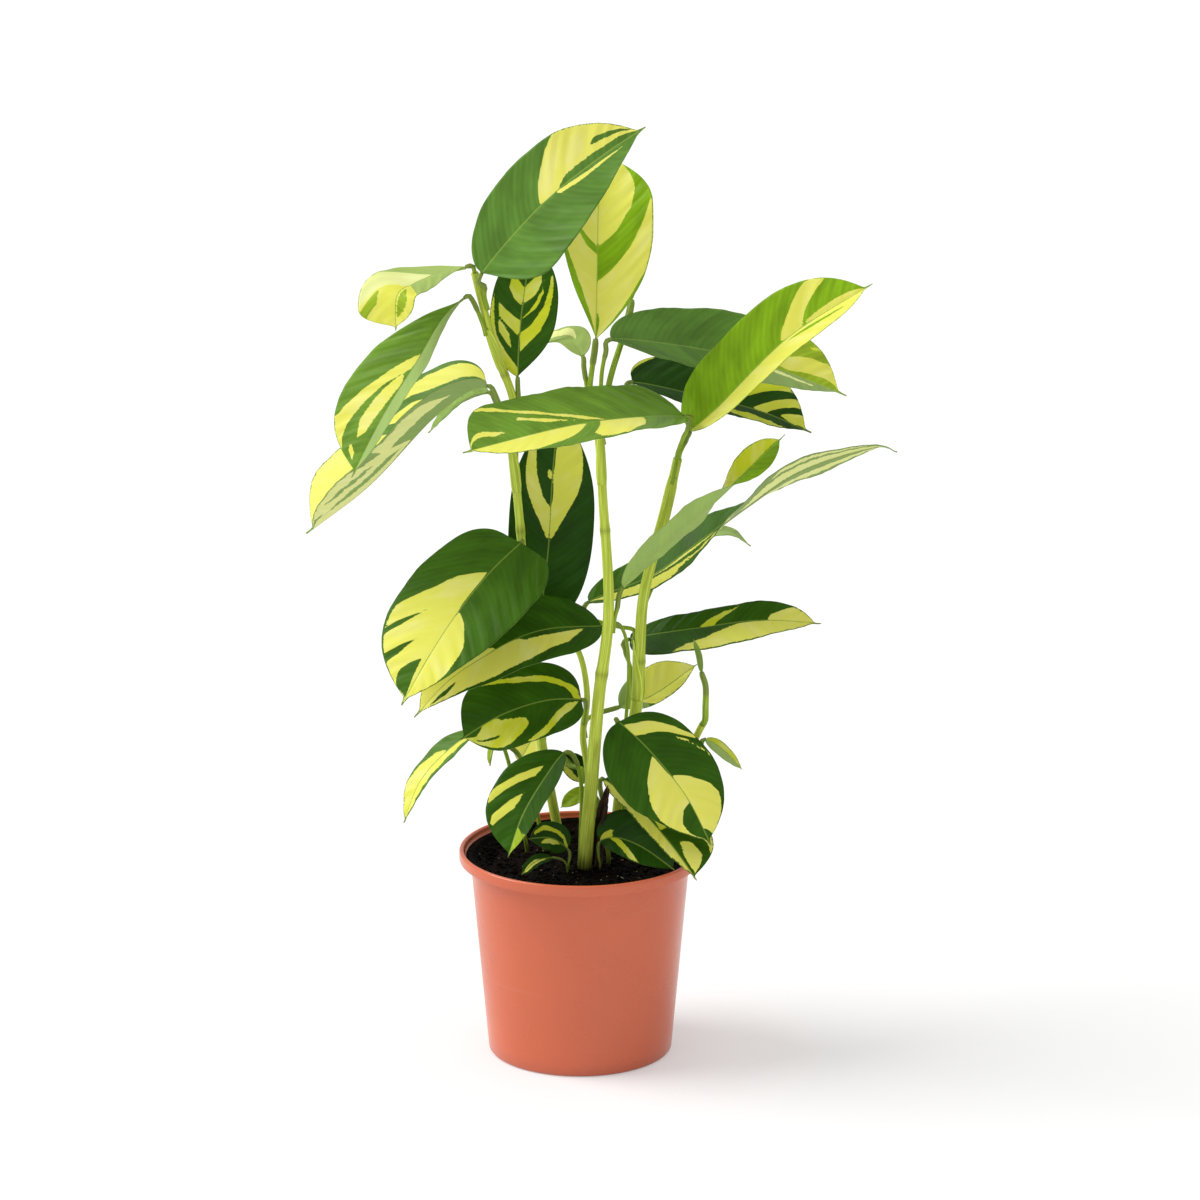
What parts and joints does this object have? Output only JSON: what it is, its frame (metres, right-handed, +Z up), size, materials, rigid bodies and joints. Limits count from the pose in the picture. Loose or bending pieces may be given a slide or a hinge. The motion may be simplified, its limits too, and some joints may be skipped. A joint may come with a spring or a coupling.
{
  "type": "potted plant",
  "caption": "Variegated ctenanthe house plant, broad green and yellow leaves on slim canes, in a tapered plastic nursery pot of soil.",
  "frame": {"origin": "centre of the pot's underside, on the surface it stands on", "axes": "+Z up along the pot's axis and the plant's height, -Y towards the plant's front, +X to its right"},
  "size_m": [0.4115, 0.1858, 0.6668],
  "materials": {
    "pot_plastic": "satin moulded terracotta-coloured plastic",
    "potting_soil": "rough, near-black moist peat with a few pale specks",
    "cane": "satin yellow-green stem with lengthwise ribs",
    "leaf_green": "satin dark green leaf with yellow patches and a paler underside",
    "leaf_lime": "satin lime green leaf with yellow patches and a paler underside",
    "leaf_pale": "satin pale yellow leaf with green margins",
    "leaf_young": "satin grey-green young leaf"
  },
  "bodies": {
    "root": {"pot": "pot_plastic", "potting_soil": "potting_soil", "cane_front": "cane", "cane_left": "cane", "cane_right": "cane", "cane_rear": "cane", "cane_side": "cane", "leaf_crown": "leaf_green", "leaf_crown_small": "leaf_lime", "leaf_left_hanging": "leaf_green", "leaf_left_long": "leaf_lime", "leaf_left_tip": "leaf_pale", "leaf_chevron": "leaf_lime", "leaf_shoulder_small": "leaf_green", "leaf_crown_yellow": "leaf_pale", "leaf_right_dark": "leaf_green", "leaf_right_shaded": "leaf_green", "leaf_upper_spear": "leaf_young", "leaf_right_bright": "leaf_lime", "leaf_middle_broad": "leaf_green", "leaf_upright_dark": "leaf_green", "leaf_front_left": "leaf_green", "leaf_right_pale_back": "leaf_pale", "leaf_right_narrow": "leaf_green", "leaf_right_behind": "leaf_pale", "leaf_low_left_long": "leaf_green", "leaf_right_low": "leaf_green", "leaf_right_pale": "leaf_pale", "leaf_low_left_round": "leaf_green", "leaf_low_left_pale": "leaf_pale", "leaf_low_left_narrow": "leaf_pale", "leaf_curl": "leaf_lime", "leaf_pot_left": "leaf_green", "leaf_pot_right": "leaf_green", "leaf_rim_right": "leaf_green", "leaf_soil_right": "leaf_green", "leaf_behind_upper": "leaf_green", "leaf_behind_lower": "leaf_lime", "leaf_right_spear": "leaf_young", "leaf_right_small": "leaf_young", "leaf_soil_left": "leaf_green", "leaf_soil_narrow": "leaf_lime"}
  },
  "joints": []
}
